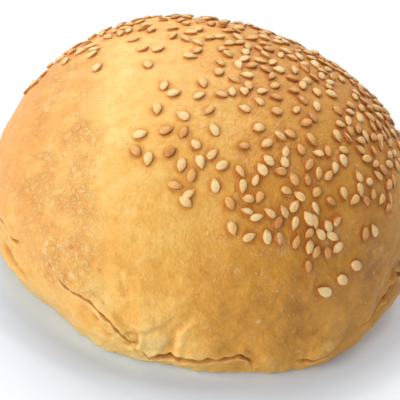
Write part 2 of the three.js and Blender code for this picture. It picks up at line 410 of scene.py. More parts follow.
def baked_marks(bearing, rise, places):
    """What baking did to each point of the smooth crust.

    It stands out and drops by some millimetres. Its relief is how far its lump or pillow stands out,
    from -1 to 1. The deeper it lies in a tear, the fold or a pinhole, the darker its painted shade.
    Its lip is how thin and pale the dough is there.
    """
    height = places[:, 2]
    low_wall = 1 - ramp(height, 16, 34)
    lumps = grain(places, 4.5, 2, 5)
    fine = grain(places, 1.8, 2, 6)
    out = (0.12 + 0.4 * low_wall) * grain(places, 13, 2, 4)
    out += (0.11 + 0.25 * low_wall) * lumps
    out += (0.075 + 0.1 * low_wall) * fine
    for at, level, spread, reach, stands in WALL_PILLOWS:
        out += stands * hump(turn_between(bearing, at), spread) * hump(height - level, reach)
    marks = {"out": out, "relief": np.clip(out, -1, 1)}
    mark_fold(marks, bearing, rise)
    mark_tears(marks, bearing + 0.9 * fine, height + 0.9 * lumps)
    mark_spots(marks, bearing, height)
    mark_foot(marks, bearing, height)
    for tone in ("cavity", "lip"):
        marks[tone] = np.clip(marks[tone], 0, 1)
    return marks


def numbered_rings(counts, start=0):
    """The vertex numbers of rings laid one after another, each with its own count of points."""
    rings = []
    for count in counts:
        rings.append(list(range(start, start + count)))
        start += count
    return rings


def neighbours(ring):
    """Each vertex number of a ring with the next one round it."""
    return list(zip(ring, ring[1:] + ring[:1]))


def stitched(rings):
    """Faces between rings of vertex numbers, each ring as long as the last or half as long."""
    faces = []
    for low, high in zip(rings, rings[1:]):
        if len(low) == len(high):
            faces += [(a, b, d, c) for (a, b), (c, d) in zip(neighbours(low), neighbours(high))]
            continue
        for k, (above, above_next) in enumerate(neighbours(high)):
            here, middle, there = low[2 * k], low[2 * k + 1], low[(2 * k + 2) % len(low)]
            faces += [(here, middle, above), (middle, there, above_next), (middle, above_next, above)]
    return faces


def cheek_border(places):
    """Distance to the left of the line where the yellow crust turns into the orange cheek."""
    return -23.2 + 0.2 * (43 - places[:, 2]) + 1.4 * grain(places, 9, 2, 22) - places[:, 0]


def browning(places, relief):
    """How brown each point is, 0 to 1: palest beside the cheek, darkest low on the right. Towards the right
    it is browner partly from baking and partly as painted shade, on the side away from the lights.
    """
    x, y, height = places[:, 0], places[:, 1], places[:, 2]
    across = 0.13 + 0.07 * ramp(x, -22, -15) + 0.08 * ramp(x, -16, -6) + 0.29 * ramp(x + 0.1 * y, -6, 10)
    across += 0.1 * ramp(x, 10, 30)
    low = (0.16 + 0.03 * ramp(x, -14, 14)) * hump(height - 17, 12) * ramp(x, -30, -20)
    crown = 0.2 * ramp(y, -5, 30) * ramp(height, 15, 40) * ramp(x, -16, 18) - 0.03 * ramp(height, 36, 48)
    patches = 0.07 * grain(places, 14, 2, 21)
    # Paler towards the foot: partly its own pale dough, partly painted light thrown up off the floor.
    rim = -0.24 * (1 - ramp(height, 2, 10))
    bearing = np.degrees(np.arctan2(y, x))
    for at, level, spread, reach, browner in TONE_PATCHES:
        patches += browner * hump(turn_between(bearing, at), spread) * hump(height - level, reach)
    even = np.clip(across + low + crown, 0, BROWNEST_EVEN)
    # Browner in the valleys and paler on the pillows: painted shade and painted light.
    return np.clip(even + patches + rim - 0.18 * relief, 0, BROWNEST)


def blushing(places):
    """The orange left cheek of the roll, 0 to 1."""
    return ramp(cheek_border(places), -2.5, 7) * (0.5 + 0.42 * ramp(places[:, 2], 12, 24))


def wrinkling(places):
    """Where the crust is finely wrinkled: by the cheek's border, in patches at the back, among the seeds."""
    x, y, height = places.T
    inside = cheek_border(places)
    border = ramp(inside, -4, 5) * (1 - 0.7 * ramp(inside, 11, 22))
    level = ramp(height, 10, 15) * (1 - ramp(height, 40, 47))
    patches = ramp(grain(places, 22, 1, 23), 0.12, 0.4) * ramp(y, 5, 25)
    wrinkles = np.maximum(border * (0.75 + 0.8 * grain(places, 6, 2, 24)), patches) * level
    among_seeds = 0.34 * ramp(grain(places, 5, 2, 25), -0.05, 0.35) * ramp(x, -4, 6) * ramp(height, 19, 26)
    return np.clip(np.maximum(wrinkles, among_seeds), 0, 1)


def underside_sheet(rim, rim_ring, first_number):
    """Points and faces of the underside, running inwards from the foot's edge to one in the middle."""
    halvings = [sum(share <= start for start in UNDERSIDE_HALVINGS) for share in UNDERSIDE_RINGS]
    sheets = [rim[:: 1 << halving] * share for halving, share in zip(halvings, UNDERSIDE_RINGS)]
    rings = [rim_ring] + numbered_rings([len(sheet) for sheet in sheets], first_number)
    places = np.concatenate(sheets)
    hollows = 0.25 * np.clip(grain(places, 9, 3, 8), 0, 1)
    hollows += 0.12 * np.clip(grain(places, 2.5, 2, 9), 0, 1)
    shortest = np.hypot(rim[:, 0], rim[:, 1]).min()
    places[:, 2] = hollows * ramp(shortest - np.hypot(places[:, 0], places[:, 1]), 0.5, 3)
    middle = rings[-1][-1] + 1
    faces = [face[::-1] for face in stitched(rings)]
    faces += [(after, here, middle) for here, after in neighbours(rings[-1])]
    return np.concatenate([places, [(0, 0, UNDERSIDE_MIDDLE_HEIGHT)]]), faces


def bread_crust():
    """The whole bread as one closed mesh, with the tones of its baking, and its painted shade, as
    attributes.
    """
    rows = crust_rows()
    bearing, rise = (np.concatenate(parts) for parts in zip(*rows))
    ways = way_at(bearing, rise)
    heart = np.array([0, 0, HEART_HEIGHT])
    distance = outline_distance(bearing, rise)
    smooth = heart + ways * distance[:, None]
    marks = baked_marks(bearing, rise, smooth)
    places = heart + ways * (distance + marks["out"])[:, None]
    places[:, 2] -= marks["drop"]
    places[:RING_STEPS, 2] = 0
    places[:, 2] = np.clip(places[:, 2], 0, None)

    rings = numbered_rings([len(ring_bearings) for ring_bearings, _ in rows])
    top = len(places)
    top_place = places[rings[-1]].mean(0)
    top_place[2] += 0.02  # so that the crown closes without a dent
    faces = stitched(rings) + [(here, after, top) for here, after in neighbours(rings[-1])]
    under_places, under_faces = underside_sheet(places[:RING_STEPS], rings[0], top + 1)
    everything = np.concatenate([places, [top_place], under_places])

    mesh = bpy.data.meshes.new("bread_crust")
    mesh.from_pydata(everything * MM, [], faces + under_faces)
    mesh.shade_smooth()
    mesh.materials.append(crust_material())
    mesh.materials.append(underside_material())
    slots = np.zeros(len(mesh.polygons), dtype=np.int32)
    slots[len(faces):] = 1
    mesh.polygons.foreach_set("material_index", slots)
    none = np.zeros(len(everything) - len(places))  # the underside has no such marks
    tones = {
        "cavity": np.concatenate([marks["cavity"], none]),
        "lip": np.concatenate([marks["lip"], none]),
        "browning": browning(everything, np.concatenate([marks["relief"], none])),
        "blushing": blushing(everything),
        "wrinkling": wrinkling(everything),
        "sprinkling": sprinkling(everything),
    }
    for name, values in tones.items():
        add_tone(mesh, name, values)
    return finished("bread_crust", mesh), everything


def finished(name, mesh):
    """A mesh whose points are already in place, as a piece of the roll."""
    piece = bpy.data.objects.new(name, mesh)
    bpy.context.collection.objects.link(piece)
    return piece


def add_tone(mesh, name, values):
    """Stores a value for each point of a mesh, for its material to use."""
    if name not in mesh.attributes:
        mesh.attributes.new(name, "FLOAT", "POINT")
    mesh.attributes[name].data.foreach_set("value", np.asarray(values, dtype=np.float32))


# ---- Materials ----
class Wiring:
    """Adds nodes to a material or a node group and joins them up."""

    def __init__(self, tree):
        self.tree = tree

    def node(self, kind, feeds=(), **settings):
        """A node with its properties set, and its inputs fed by values or by other nodes' outputs."""
        made = self.tree.nodes.new(kind)
        for name, value in settings.items():
            setattr(made, name, value)
        for socket, source in dict(feeds).items():
            self.feed(made.inputs[socket], source)
        return made

    def output(self, kind, feeds=(), **settings):
        """The first output of such a node."""
        return self.node(kind, feeds, **settings).outputs[0]

    def feed(self, socket, source):
        """Sets a socket to a value, or links another node's output to it."""
        if isinstance(source, bpy.types.NodeSocket):
            self.tree.links.new(source, socket)
        elif source is not None:
            socket.default_value = source

    def math(self, operation, first, second=None, third=None, clamp=False):
        """A sum of one, two or three values."""
        feeds = {0: first, 1: second, 2: third}
        return self.output("ShaderNodeMath", feeds, operation=operation, use_clamp=clamp)

    def times(self, first, second):
        """Two values multiplied."""
        return self.math("MULTIPLY", first, second)

    def times_plus(self, first, second, added):
        """Two values multiplied, and a third added."""
        return self.math("MULTIPLY_ADD", first, second, added)

    def tone(self, name):
        """A named tone that is stored on the piece."""
        return self.node("ShaderNodeAttribute", attribute_name=name).outputs["Fac"]

    def ramp(self, value, *stops, smooth=False):
        """Colours, or grey values, at shares from 0 to 1."""
        made = self.node("ShaderNodeValToRGB", {"Fac": value})
        band = made.color_ramp
        band.interpolation = "EASE" if smooth else "LINEAR"
        while len(band.elements) < len(stops):
            band.elements.new(0.5)
        for element, (at, shade) in zip(band.elements, stops):
            element.position = at
            element.color = (shade, shade, shade, 1) if isinstance(shade, (int, float)) else (*shade, 1)
        return made.outputs["Color"]

    def blend(self, share, under, over):
        """One colour over another by a share."""
        made = self.node("ShaderNodeMix", data_type="RGBA")
        self.feed(made.inputs[0], share)
        for socket, source in ((made.inputs[6], under), (made.inputs[7], over)):
            self.feed(socket, (*source, 1) if isinstance(source, tuple) else source)
        return made.outputs[2]

    def coated(self, colour, *coats):
        """A colour under coats, each a mask, its strength and a colour of its own."""
        for mask, strength, shade in coats:
            colour = self.blend(self.times(mask, strength), colour, shade)
        return colour

    def millimetres(self):
        """The place on the piece, in millimetres."""
        place = self.node("ShaderNodeTexCoord").outputs["Object"]
        return self.output("ShaderNodeVectorMath", {0: place, 3: 1 / MM}, operation="SCALE")

    def noise(self, place, size, detail=2, rough=0.5, bend=0):
        """Soft random noise, 0 to 1, with lumps of a size in millimetres."""
        feeds = {"Vector": place, "Scale": 1 / size, "Detail": detail, "Roughness": rough,
                 "Distortion": bend}
        return self.node("ShaderNodeTexNoise", feeds).outputs["Fac"]

    def cells(self, place, scale):
        """Distance to the nearest of scattered points, and three numbers drawn by chance for it."""
        made = self.node("ShaderNodeTexVoronoi", {"Vector": place, "Scale": scale})
        drawn = self.node("ShaderNodeSeparateColor", {"Color": made.outputs["Color"]}).outputs
        return made.outputs["Distance"], drawn

    def finish(self, shader, colour, roughness, relief, depth, specular):
        """Feeds a material's shader; a relief of 1 stands out by the depth, in metres."""
        bump = self.node("ShaderNodeBump", {"Strength": 1.0, "Distance": depth, "Height": relief})
        self.feed(shader["Base Color"], colour)
        self.feed(shader["Roughness"], roughness)
        self.feed(shader["Normal"], bump.outputs[0])
        self.feed(shader["Specular IOR Level"], specular)


def group(name, gives, takes):
    """An empty shader group with named inputs and outputs, and its wiring, input and output nodes."""
    tree = bpy.data.node_groups.new(name, "ShaderNodeTree")
    for socket, kind, value in takes:
        made = tree.interface.new_socket(socket, in_out="INPUT", socket_type=kind)
        if value is not None:
            made.default_value = value
    for socket, kind in gives:
        tree.interface.new_socket(socket, in_out="OUTPUT", socket_type=kind)
    wiring = Wiring(tree)
    return tree, wiring, wiring.node("NodeGroupInput").outputs, wiring.node("NodeGroupOutput").inputs


FLOAT, COLOUR, VECTOR = "NodeSocketFloat", "NodeSocketColor", "NodeSocketVector"


def baked_dough_group():
    """Colour and fine relief of baked dough: mottled browning, blisters, grit and freckles."""
    tree, w, takes, gives = group(
        "baked dough",
        [("Colour", COLOUR), ("Roughness", FLOAT), ("Height", FLOAT)],
        [("Place", VECTOR, None), ("Browning", FLOAT, None), ("Mottling", FLOAT, 1.0),
         ("Blisters", FLOAT, 1.0)],
    )
    place = takes["Place"]
    broad = w.math("SUBTRACT", w.noise(place, 9, 3, 0.6, 0.6), 0.5)
    patchy = w.math("SUBTRACT", w.noise(place, 2.6, 4, 0.6, 0.5), 0.5)
    fine = w.math("SUBTRACT", w.noise(place, 0.6, 2, 0.6), 0.5)
    mottled = w.times_plus(broad, 0.38, w.times_plus(patchy, 0.58, w.times(fine, 0.15)))
    brown = w.math("MULTIPLY_ADD", mottled, takes["Mottling"], takes["Browning"], clamp=True)
    colour = w.ramp(brown, (0, (0.88, 0.60, 0.215)), (0.14, (0.85, 0.51, 0.14)),
                    (0.32, (0.81, 0.42, 0.085)), (0.52, (0.73, 0.34, 0.05)),
                    (0.78, (0.59, 0.26, 0.03)), (1, (0.42, 0.17, 0.02)))
    # Blisters: small pale bubbles, most of them left out.
    away, drawn = w.cells(place, 0.62)
    width = w.times_plus(drawn[1], 0.22, 0.1)
    round_spot = w.math("SUBTRACT", 1, w.math("DIVIDE", away, width), clamp=True)
    chosen = w.math("GREATER_THAN", drawn[0], 0.72)
    blister = w.times(w.times(round_spot, chosen), takes["Blisters"])
    # Grit and freckles: crisp specks, a few of them burnt orange.
    away, drawn = w.cells(place, 1.15)
    speck = w.math("LESS_THAN", away, w.times_plus(drawn[1], 0.14, 0.06))
    grit = w.times(speck, w.math("GREATER_THAN", drawn[0], 0.83))
    freckle = w.times(w.times(speck, w.math("LESS_THAN", drawn[0], 0.035)), takes["Blisters"])
    colour = w.coated(
        colour,
        (blister, 0.5, (0.90, 0.60, 0.23)),
        (grit, 0.62, (0.94, 0.68, 0.30)),
        (freckle, 0.6, (0.66, 0.21, 0.03)),
    )
    w.feed(gives["Colour"], colour)
    w.feed(gives["Roughness"], w.times_plus(w.noise(place, 2.4, 3), 0.2, 0.38))
    raised = w.times_plus(grit, 0.08, w.times(blister, 0.16))
    relief = w.times_plus(w.noise(place, 1.5, 4, 0.6), 0.42, raised)
    w.feed(gives["Height"], w.times_plus(w.noise(place, 0.4, 2), 0.07, relief))
    return tree


def wrinkled_skin_group():
    """Finely wrinkled crust: small pale cells with thin creases between them, in patches; the creases are
    darkened as painted shade.
    """
    tree, w, takes, gives = group(
        "wrinkled skin",
        [("Crease", FLOAT), ("Pale", FLOAT), ("Height", FLOAT)],
        [("Place", VECTOR, None), ("Size", FLOAT, 1.5), ("Amount", FLOAT, None)],
    )
    place = takes["Place"]
    shove = w.node("ShaderNodeTexNoise", {"Vector": place, "Scale": 0.6, "Detail": 3}).outputs["Color"]
    feeds = {0: shove, 1: (2.6, 2.6, 2.6), 2: place}
    shoved = w.output("ShaderNodeVectorMath", feeds, operation="MULTIPLY_ADD")
    creases, pales = [], []
    for fineness, strength in ((1.0, 1.0), (2.0, 0.6)):
        scale = w.math("DIVIDE", fineness, takes["Size"])
        net = w.node("ShaderNodeTexVoronoi", {"Vector": shoved, "Scale": scale}, feature="DISTANCE_TO_EDGE")
        _, drawn = w.cells(shoved, scale)
        near = w.ramp(net.outputs["Distance"], (0, 1.0), (0.05, 0.7), (0.11, 0))
        inner = w.ramp(net.outputs["Distance"], (0.06, 0), (0.22, 1.0), smooth=True)
        creases.append(w.times(near, strength))
        pales.append(w.times(w.times(inner, w.ramp(drawn[0], (0.45, 0), (0.8, 1.0))), strength))
    wave = w.math("ABSOLUTE", w.math("SUBTRACT", w.noise(place, 2.6, 2, 0.5, 1.0), 0.5))
    squiggle = w.ramp(wave, (0, 0.8), (0.012, 0.6), (0.028, 0))
    amount = w.math("MULTIPLY", takes["Amount"], 1.6, clamp=True)
    here = w.times(w.ramp(w.noise(place, 3.6, 2), (0.32, 0), (0.5, 1.0), smooth=True), amount)
    crease = w.times(w.math("MAXIMUM", *creases), here)
    crease = w.math("MAXIMUM", crease, w.times(squiggle, amount))
    pale = w.times(w.math("MAXIMUM", *pales), here)
    w.feed(gives["Crease"], crease)
    w.feed(gives["Pale"], pale)
    w.feed(gives["Height"], w.times_plus(crease, -0.12, w.times(pale, 0.08)))
    return tree


def placed(wiring, tree, **feeds):
    """A group put to use in a material."""
    made = wiring.node("ShaderNodeGroup")
    made.node_tree = tree
    for name, source in feeds.items():
        wiring.feed(made.inputs[name], source)
    return made.outputs


def new_material(name):
    """A material, its wiring and its shader."""
    material = bpy.data.materials.new(name)
    material.use_nodes = True
    return material, Wiring(material.node_tree), material.node_tree.nodes["Principled BSDF"].inputs


def crust_material():
    """Golden crust: pale, brown or orange by the tones stored on it, wrinkled, torn at the fold, and with
    painted shade in its hollows and creases and round its seeds.
    """
    material, w, shader = new_material("golden crust")
    place = w.millimetres()
    halo, baked = w.tone("seed_halo"), w.tone("browning")
    dough = placed(w, BAKED_DOUGH, Place=place, Browning=w.times_plus(halo, 0.22, baked))
    skin = placed(w, WRINKLED_SKIN, Place=place, Amount=w.tone("wrinkling"))
    # The orange cheek, deepest at the far left, with a ragged border.
    across = w.node("ShaderNodeSeparateXYZ", {0: place}).outputs["X"]
    far_left = w.output("ShaderNodeMapRange", {0: across, 1: -33.0, 2: -41.0})
    paler = w.times_plus(far_left, -0.25, w.noise(place, 4.5, 4))
    cheek = w.blend(w.ramp(paler, (0.35, 0), (0.65, 1.0)), (0.73, 0.34, 0.08), (0.84, 0.50, 0.155))
    ragged = w.math("SUBTRACT", w.noise(place, 1.4, 4, 0.65, 0.5), 0.5)
    blush = w.ramp(w.times_plus(ragged, 0.9, w.tone("blushing")), (0.1, 0), (0.95, 0.95))
    colour = w.blend(blush, dough["Colour"], cheek)
    # Orange-brown smears among the seeds, and a darker ring close round each, partly browning and partly
    # painted contact shade.
    smear = w.ramp(w.noise(place, 3.2, 4, 0.6, 1.4), (0.5, 0), (0.68, 0.42))
    among_seeds = w.ramp(w.tone("sprinkling"), (0.1, 0), (0.6, 1.0))
    ring = w.ramp(halo, (0, 0), (0.4, 0.15), (0.8, 0.68))
    on_brown = w.ramp(baked, (0.15, 0.5), (0.5, 0.9))
    colour = w.coated(
        colour,
        (smear, among_seeds, (0.62, 0.225, 0.03)),
        (ring, on_brown, (0.52, 0.165, 0.018)),
        (skin["Pale"], 0.5, (0.94, 0.65, 0.32)),
        # The creases darker as painted shade.
        (skin["Crease"], 0.7, (0.78, 0.31, 0.05)),
        (w.tone("lip"), 0.7, (0.93, 0.68, 0.28)),
    )
    # Painted shade: dark orange-brown down in the tears, the fold and the pinholes, and round the bubbles.
    cavity = w.tone("cavity")
    torn = w.blend(cavity, (0.70, 0.31, 0.05), (0.52, 0.19, 0.025))
    colour = w.blend(w.ramp(cavity, (0.1, 0), (0.6, 0.8), (1, 1.0)), colour, torn)
    height = w.math("ADD", dough["Height"], skin["Height"])
    w.finish(shader, colour, dough["Roughness"], height, MM, 0.3)
    return material


def underside_material():
    """The base: dull brown where it lay on the tray, pale towards its rim, pitted and dusted with flour."""
    material, w, shader = new_material("tray-baked base")
    place = w.millimetres()
    from_middle = w.node("ShaderNodeVectorMath", {0: place}, operation="LENGTH").outputs["Value"]
    strayed = w.times_plus(w.noise(place, 9, 3), 16, from_middle)
    pale_rim = w.ramp(w.math("DIVIDE", strayed, 60), (0.6, 0), (0.88, 1.0), smooth=True)
    islands = w.ramp(w.noise(place, 13, 4, 0.62, 0.8), (0.42, 0), (0.6, 1.0), smooth=True)
    brown = w.times_plus(pale_rim, -0.42, w.times_plus(islands, 0.36, 0.36))
    dough = placed(w, BAKED_DOUGH, Place=place, Browning=brown, Mottling=1.1, Blisters=0.3)
    away, drawn = w.cells(place, 0.34)
    width = w.times_plus(drawn[1], 0.34, 0.1)
    pit = w.math("SUBTRACT", 1, w.math("DIVIDE", away, width), clamp=True)
    pit = w.times(pit, w.math("GREATER_THAN", drawn[0], 0.45))
    flour = w.ramp(w.noise(place, 5, 5, 0.7), (0.54, 0), (0.72, 1.0))
    flour = w.times(flour, w.noise(place, 0.35, 1))
    colour = w.coated(dough["Colour"], (pit, 0.7, (0.86, 0.56, 0.22)), (flour, 0.6, (0.90, 0.80, 0.62)))
    height = w.times_plus(pit, -0.5, w.times_plus(w.noise(place, 4, 3), 0.6, dough["Height"]))
    w.finish(shader, colour, w.times_plus(dough["Roughness"], 0.6, 0.4), height, MM, 0.3)
    return material


def seed_material():
    """Hulled sesame: creamy, each seed toasted by its own amount, darker at the pointed end, and darker
    along its rim, partly from toasting and partly as painted shade that outlines it.
    """
    material, w, shader = new_material("sesame")
    place = w.millimetres()
    speckle = w.noise(place, 0.5, 2)
    tip = w.ramp(w.tone("along"), (0.6, 0), (0.9, 0.25), (1.0, 0.7), smooth=True)
    sideways = w.tone("sideways")
    # Darker along the rim: partly toasting, partly painted shade that outlines the seed.
    edge = w.ramp(w.math("ABSOLUTE", sideways), (0.7, 0), (0.86, 0.18), (0.97, 0.75))
    wavy = w.times_plus(speckle, 0.6, w.times(sideways, 1.6))
    ribs = w.ramp(w.math("PINGPONG", w.math("ADD", wavy, 10), 0.5), (0, 0.2), (0.13, 0))
    ribs = w.times(ribs, w.ramp(w.noise(place, 0.8, 1), (0.35, 0), (0.6, 1.0)))
    mottled = w.times_plus(w.math("SUBTRACT", speckle, 0.5), 0.35, w.tone("toasting"))
    shade = w.math("MAXIMUM", w.math("MAXIMUM", tip, edge), ribs)
    amount = w.math("ADD", mottled, shade, clamp=True)
    colour = w.ramp(amount, (0, (0.97, 0.745, 0.40)), (0.2, (0.93, 0.625, 0.275)),
                    (0.42, (0.85, 0.465, 0.145)), (0.7, (0.68, 0.295, 0.068)), (1, (0.43, 0.145, 0.028)))
    ridges = w.times_plus(ribs, -1.0, w.noise(place, 0.4, 3, 0.6))
    w.finish(shader, colour, w.times_plus(speckle, 0.2, 0.38), ridges, 0.25 * MM, 0.4)
    return material


# ---- Seeds ----
SEED_LENGTH = 3.1
SEED_WIDTH = 2.05
SEED_THICKNESS = 0.95
SEED_SUNK = 0.18  # how deep a single seed sits in the crust
SCATTERED_SUNK = 0.23  # how deep the lowest of the scattered seeds sit where they lie flat
SCATTERED_LIFT = 0.1  # and how much higher the others may lie
SCATTERED_SPACING = 2.3
THICKEST_SPRINKLING = 300000.0  # seeds to the square metre, before the crowded ones are left out
SPRINKLING_CHANCE = 23
# Shapes of seed: name, fullness and how much of its length the tip takes up.
SEED_SHAPES = [("plump", 1.0, 0.62), ("slim", 0.86, 0.64), ("blunt", 1.0, 0.52)]
# Seeds that are toasted more than the rest: number and amount, 0 to 1.
TOASTED_SEEDS = {
    6: 0.5, 7: 0.6, 8: 0.55, 10: 0.8, 12: 0.5, 13: 0.45, 20: 0.5, 27: 0.75, 28: 0.5, 31: 0.6, 35: 0.55
}
# Seeds that are bigger than the rest: number and scale.
BIG_SEEDS = {26: 1.15, 32: 1.15, 33: 1.15, 34: 1.38}
CROWN_MIDDLE = np.array([-2.7, -1.2, 0])  # the sprinkling is centred here
SEED_CLEARANCE = 2.0  # least distance from a single seed's middle to a scattered one's
SEED_RADIUS = 1.35  # about, of a seed seen from above
HALO_REACH = 6  # how far from a seed's middle the crust is browned and shaded for it
SEED_SIDES = 10
# Where a seed's rings of points lie along it, from its round end at 0 to its tip at 1.
SEED_RINGS = [0.03, 0.11, 0.24, 0.4, 0.57, 0.73, 0.87, 0.96]


def seed_mesh(name, fullness, tip_length):
    """A sesame seed lying flat about its own middle: round at one end, pointed towards +X."""
    points, sideways = [(-0.5, 0, 0)], [1]
    for along in SEED_RINGS:
        if along < 1 - tip_length:
            half = math.sqrt(1 - (1 - along / (1 - tip_length)) ** 2)
        else:
            half = math.cos(math.pi / 2 * (along - 1 + tip_length) / tip_length) ** 0.95
        half *= 0.5 * fullness
        for side in range(SEED_SIDES):
            angle = 2 * math.pi * side / SEED_SIDES
            thick = math.copysign(abs(math.sin(angle)) ** 0.65, math.sin(angle))
            points.append((along - 0.5, half * math.cos(angle), half * thick))
            sideways.append(math.cos(angle))
    last = len(points)
    points.append((0.5, 0, 0))
    sideways.append(1)
    rings = numbered_rings([SEED_SIDES] * len(SEED_RINGS), 1)
    faces = [(0, after, here) for here, after in neighbours(rings[0])]
    faces += stitched(rings)
    faces += [(here, after, last) for here, after in neighbours(rings[-1])]
    mesh = bpy.data.meshes.new(name)
    scale = Vector((SEED_LENGTH, SEED_WIDTH, SEED_THICKNESS)) * MM
    mesh.from_pydata([Vector(point) * scale for point in points], [], faces)
    mesh.shade_smooth()
    add_tone(mesh, "along", [point[0] + 0.5 for point in points])
    add_tone(mesh, "sideways", sideways)
    mesh.materials.append(SESAME)
    return mesh


def packed_seed_frame(name):
    """Where a packed seed lies: its middle and the ways of its pointed end, its side and its top."""
    corners = np.array([vertex.co[:] for vertex in frame["nodes"][name].data.vertices])
    corners = np.unique(corners.round(7), axis=0)
    middle = corners.mean(0)
    _, _, axes = np.linalg.svd(corners - middle)
    tip, top = Vector(axes[0]), Vector(axes[2])
    lengthwise = (corners - middle) @ axes[0]
    if abs(lengthwise.min()) > lengthwise.max():
        tip.negate()
    if top.dot(Vector(middle) - Vector((0, 0, HEART_HEIGHT * MM))) < 0:
        top.negate()
    middle = Vector(middle) + tip * (max(lengthwise.max(), -lengthwise.min()) - SEED_LENGTH * MM / 2)
    return middle, tip, top.cross(tip), top


def single_seeds(crust_tree, shapes):
    """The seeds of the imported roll, each laid into the crust where it is packed."""
    centres = []
    for number, name in enumerate(SEED_NODES, start=1):
        middle, tip, side, top = packed_seed_frame(name)
        ground = crust_tree.ray_cast(middle + top * 5 * MM, -top)[0]
        middle = ground + top * (SEED_THICKNESS / 2 - SEED_SUNK) * MM
        turn = Matrix((tip, side, top)).transposed().to_4x4() @ Matrix.Scale(BIG_SEEDS.get(number, 1), 4)
        mesh = shapes[number % len(shapes)].copy()
        mesh.name = f"seed_{number:02d}"
        mesh.transform(Matrix.Translation(middle) @ turn)
        usual = 0.08 + 0.2 * ((number * 0.618) % 1)
        add_tone(mesh, "toasting", [TOASTED_SEEDS.get(number, usual)] * len(mesh.vertices))
        seed = finished(mesh.name, mesh)
        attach(seed, "root")
        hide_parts(name)
        centres.append(middle)
    return centres


def sprinkling(places):
    """How thickly the scattered seeds lie, 0 to 1: thick on the right and over the back, thin in front."""
    x, y, height = (places - CROWN_MIDDLE).T
    bearing = np.degrees(np.arctan2(y, x))
    reach = np.hypot(x, y)
    edge = 41.5 + 3 * np.cos(np.radians(bearing + 20)) - 14 * hump(turn_between(bearing, -136), 27)
    edge -= 3.5 * hump(turn_between(bearing, -85), 18)
    left_side = hump(x + 39, 5) * hump(y + 1, 5)  # a few lie farther down here
    edge += 6 * left_side
    inside = 1 - ramp(reach, edge - 3, edge + 0.5)
    bare_from = -5.5 - 0.19 * (x + 5) - 3 * left_side  # the left cheek is bare in front of this line
    inside *= np.maximum(ramp(x, -6, -3), ramp(y - bare_from, -1, 1))
    thick = 0.22 + 0.78 * ramp(x + 0.35 * y, -16, 6)
    thick += 0.5 * hump(x + 24, 14) * ramp(y, -2, 4) * (1 - ramp(y, 18, 28))
    thick += 0.8 * left_side
    clumps = 0.95 + 0.35 * grain(places, 7, 2, 33)
    share = inside * np.clip(thick * clumps, 0.04, 1) * ramp(height, 12, 22)
    for centre in PACKED_CENTRES:
        near = np.linalg.norm(places - centre, axis=1)
        share[near < SEED_CLEARANCE] = 0
    return share


